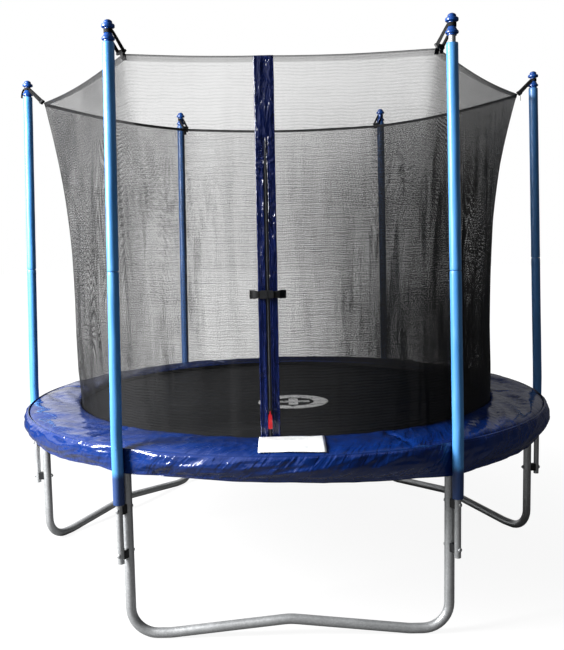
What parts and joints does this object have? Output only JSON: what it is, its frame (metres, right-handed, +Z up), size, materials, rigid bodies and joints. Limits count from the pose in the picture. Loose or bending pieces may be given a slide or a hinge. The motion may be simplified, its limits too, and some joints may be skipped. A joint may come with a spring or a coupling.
{
  "type": "garden trampoline with net enclosure",
  "caption": "Round garden trampoline: sprung jumping mat, padded rim, steel tube legs, and a net enclosure on foam-sleeved poles with a zipped and buckled door.",
  "frame": {"origin": "middle of the frame at floor level, under the centre of the jumping mat", "axes": "+Z up; -Y points out of the zipped door; +X to the right as seen from the door, through two opposite poles"},
  "size_m": [2.532, 2.4622, 2.268],
  "materials": {
    "galvanised_steel": "galvanised, slightly dull",
    "sleeve_foam": "glossy blue film over foam",
    "cap_plastic": "glossy blue plastic",
    "black_plastic": "satin black plastic",
    "webbing": "woven black webbing",
    "mat_fabric": "black woven polypropylene",
    "pad_vinyl": "glossy blue coated vinyl, wrinkled",
    "net_mesh": "fine black knitted mesh",
    "door_vinyl": "glossy navy vinyl with a black zip",
    "spring_steel": "zinc-plated",
    "red_plastic": "glossy red plastic"
  },
  "bodies": {
    "root": {"top_rail_1": "galvanised_steel", "top_rail_2": "galvanised_steel", "top_rail_3": "galvanised_steel", "top_rail_4": "galvanised_steel", "top_rail_5": "galvanised_steel", "top_rail_6": "galvanised_steel", "leg_post_1": "galvanised_steel", "leg_post_2": "galvanised_steel", "leg_post_3": "galvanised_steel", "leg_post_4": "galvanised_steel", "leg_post_5": "galvanised_steel", "leg_post_6": "galvanised_steel", "pole_1": "galvanised_steel", "pole_2": "galvanised_steel", "pole_3": "galvanised_steel", "pole_4": "galvanised_steel", "pole_5": "galvanised_steel", "pole_6": "galvanised_steel", "leg_base_front": "galvanised_steel", "leg_base_left": "galvanised_steel", "leg_base_right": "galvanised_steel", "foam_sleeve_1": "sleeve_foam", "foam_sleeve_2": "sleeve_foam", "foam_sleeve_3": "sleeve_foam", "foam_sleeve_4": "sleeve_foam", "foam_sleeve_5": "sleeve_foam", "foam_sleeve_6": "sleeve_foam", "pole_cap_1": "cap_plastic", "pole_cap_2": "cap_plastic", "pole_cap_3": "cap_plastic", "pole_cap_4": "cap_plastic", "pole_cap_5": "cap_plastic", "pole_cap_6": "cap_plastic", "lower_clamp_1": "black_plastic", "lower_clamp_2": "black_plastic", "lower_clamp_3": "black_plastic", "lower_clamp_4": "black_plastic", "lower_clamp_5": "black_plastic", "lower_clamp_6": "black_plastic", "upper_clamp_1": "black_plastic", "upper_clamp_2": "black_plastic", "upper_clamp_3": "black_plastic", "upper_clamp_4": "black_plastic", "upper_clamp_5": "black_plastic", "upper_clamp_6": "black_plastic", "buckle_socket": "black_plastic", "net_strap_1": "webbing", "net_strap_2": "webbing", "net_strap_3": "webbing", "net_strap_4": "webbing", "net_strap_5": "webbing", "net_strap_6": "webbing", "springs": "spring_steel", "safety_pad": "pad_vinyl", "net": "net_mesh", "door_strip": "door_vinyl"},
    "jumping_mat": {"mat": "mat_fabric"},
    "zip_runner": {"zip_slider": "black_plastic"},
    "pull_tab": {"zip_pull": "red_plastic"},
    "strap_plug": {"buckle_plug": "black_plastic"}
  },
  "joints": [
    {"name": "mat_bounce", "type": "slide", "parent": "root", "child": "jumping_mat", "axis": [0, 0, 1], "range_m": [-0.16, 0], "stiffness_N_per_m": 5000, "springref_m": 0.03},
    {"name": "zip_slide", "type": "slide", "parent": "root", "child": "zip_runner", "axis": [0, 0, 1], "range_m": [0, 0.99]},
    {"name": "pull_swing", "type": "hinge", "parent": "zip_runner", "child": "pull_tab", "pos_m": [-0.062, -0.98854, 0.852], "axis": [-1, 0, 0], "range_deg": [0, 150]},
    {"name": "buckle_release", "type": "slide", "parent": "root", "child": "strap_plug", "axis": [1, 0, 0], "range_m": [0, 0.03]}
  ]
}
